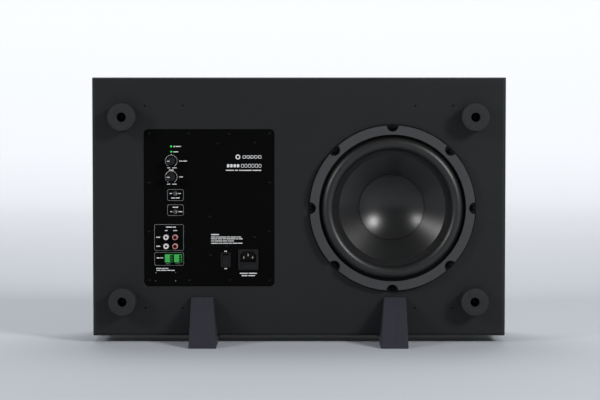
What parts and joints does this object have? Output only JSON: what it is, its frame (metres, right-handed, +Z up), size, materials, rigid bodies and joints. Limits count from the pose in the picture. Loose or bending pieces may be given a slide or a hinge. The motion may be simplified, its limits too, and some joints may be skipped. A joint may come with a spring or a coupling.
{
  "type": "powered subwoofer",
  "caption": "Flat sealed powered subwoofer cabinet with a round driver, amplifier plate and rubber feet on one side, standing on its long edge in wedge stands.",
  "frame": {"origin": "on the floor, midway between the two stands, under the middle of the cabinet's depth", "axes": "+X along the cabinet's long side, to the right seen from the driver side; -Y out of the driver side; +Z up"},
  "size_m": [0.65, 0.33, 0.4175],
  "materials": {
    "cabinet_paint": "matte black paint over board, fine orange-peel texture",
    "raw_board": "bare fibreboard",
    "foot_rubber": "matte moulded rubber",
    "stand_plastic": "satin moulded plastic, fine texture",
    "basket_steel": "black powder coat on pressed steel",
    "ring_rubber": "matte grey rubber",
    "surround_rubber": "satin black rubber",
    "cone_paper": "coated paper, satin",
    "spider_cloth": "resin-treated cloth",
    "former_foil": "thin foil",
    "copper": "enamelled copper wire",
    "zinc_steel": "zinc plated steel",
    "ferrite": "sintered ferrite, matte",
    "black_steel": "black oxide steel",
    "plate_paint": "fine-textured black powder coat on aluminium",
    "foam": "closed-cell foam",
    "circuit_green": "solder-masked board",
    "knob_plastic": "satin moulded plastic",
    "led_green": "clear tinted lens",
    "nickel": "nickel plating",
    "socket_plastic": "moulded nylon, satin",
    "terminal_green": "bright green moulded nylon",
    "brass_pin": "plated brass",
    "fuse_glass": "clear glass tube"
  },
  "bodies": {
    "cabinet": {"driver_baffle": "cabinet_paint", "rear_panel": "cabinet_paint", "top_panel": "cabinet_paint", "bottom_panel": "cabinet_paint", "left_panel": "cabinet_paint", "right_panel": "cabinet_paint", "inner_brace": "raw_board", "stand_left": "stand_plastic", "stand_right": "stand_plastic", "driver_basket": "basket_steel", "trim_ring": "ring_rubber", "surround": "surround_rubber", "spider": "spider_cloth", "top_plate": "zinc_steel", "magnet": "ferrite", "pole_yoke": "zinc_steel", "amp_plate": "plate_paint", "amp_gasket": "foam", "amp_housing": "zinc_steel", "circuit_board": "circuit_green", "transformer": "ferrite", "volume_pot": "zinc_steel", "crossover_pot": "zinc_steel", "power_led": "led_green", "signal_led": "led_green", "phase_switch": "nickel", "standby_switch": "nickel", "rca_block": "socket_plastic", "terminal_header_1": "terminal_green", "terminal_header_2": "terminal_green", "rocker_housing": "socket_plastic", "mains_inlet": "socket_plastic", "inlet_live_pin": "brass_pin", "inlet_earth_pin": "brass_pin", "inlet_neutral_pin": "brass_pin", "foot_1": "foot_rubber", "foot_2": "foot_rubber", "foot_3": "foot_rubber", "foot_4": "foot_rubber", "driver_screw_1": "black_steel", "driver_screw_2": "black_steel", "driver_screw_3": "black_steel", "driver_screw_4": "black_steel", "driver_screw_5": "black_steel", "driver_screw_6": "black_steel", "driver_screw_7": "black_steel", "driver_screw_8": "black_steel"},
    "moving_cone": {"cone": "cone_paper", "dust_cap": "cone_paper", "coil_former": "former_foil", "voice_coil": "copper"},
    "volume_control": {"volume_knob": "knob_plastic"},
    "crossover_control": {"crossover_knob": "knob_plastic"},
    "standby_toggle": {"standby_lever": "nickel"},
    "phase_toggle": {"phase_lever": "nickel"},
    "plug_1": {"terminal_plug_1": "terminal_green"},
    "plug_2": {"terminal_plug_2": "terminal_green"},
    "rocker": {"power_rocker": "socket_plastic"},
    "fuse_holder": {"fuse_drawer": "socket_plastic", "fuse": "fuse_glass"}
  },
  "joints": [
    {"name": "cone_stroke", "type": "slide", "parent": "cabinet", "child": "moving_cone", "axis": [0, 1, 0], "range_m": [-0.008, 0.008], "stiffness_N_per_m": 2000, "deforming": ["surround", "spider"]},
    {"name": "volume_turn", "type": "hinge", "parent": "cabinet", "child": "volume_control", "pos_m": [-0.2008, -0.088, 0.2864], "axis": [0, 1, 0], "range_deg": [-60, 240]},
    {"name": "crossover_turn", "type": "hinge", "parent": "cabinet", "child": "crossover_control", "pos_m": [-0.2008, -0.088, 0.2614], "axis": [0, 1, 0], "range_deg": [-60, 240]},
    {"name": "standby_flip", "type": "hinge", "parent": "cabinet", "child": "standby_toggle", "pos_m": [-0.1944, -0.082, 0.2353], "axis": [0, 0, 1], "range_deg": [-24, 0]},
    {"name": "phase_flip", "type": "hinge", "parent": "cabinet", "child": "phase_toggle", "pos_m": [-0.1944, -0.082, 0.2067], "axis": [0, 0, 1], "range_deg": [-24, 0]},
    {"name": "plug_1_pull", "type": "slide", "parent": "cabinet", "child": "plug_1", "axis": [0, -1, 0], "range_m": [0, 0.014]},
    {"name": "plug_2_pull", "type": "slide", "parent": "cabinet", "child": "plug_2", "axis": [0, -1, 0], "range_m": [0, 0.014]},
    {"name": "power_rock", "type": "hinge", "parent": "cabinet", "child": "rocker", "pos_m": [-0.1155, -0.081, 0.1306], "axis": [1, 0, 0], "range_deg": [-14, 0]},
    {"name": "fuse_drawer_slide", "type": "slide", "parent": "cabinet", "child": "fuse_holder", "axis": [0, -1, 0], "range_m": [0, 0.022]}
  ]
}
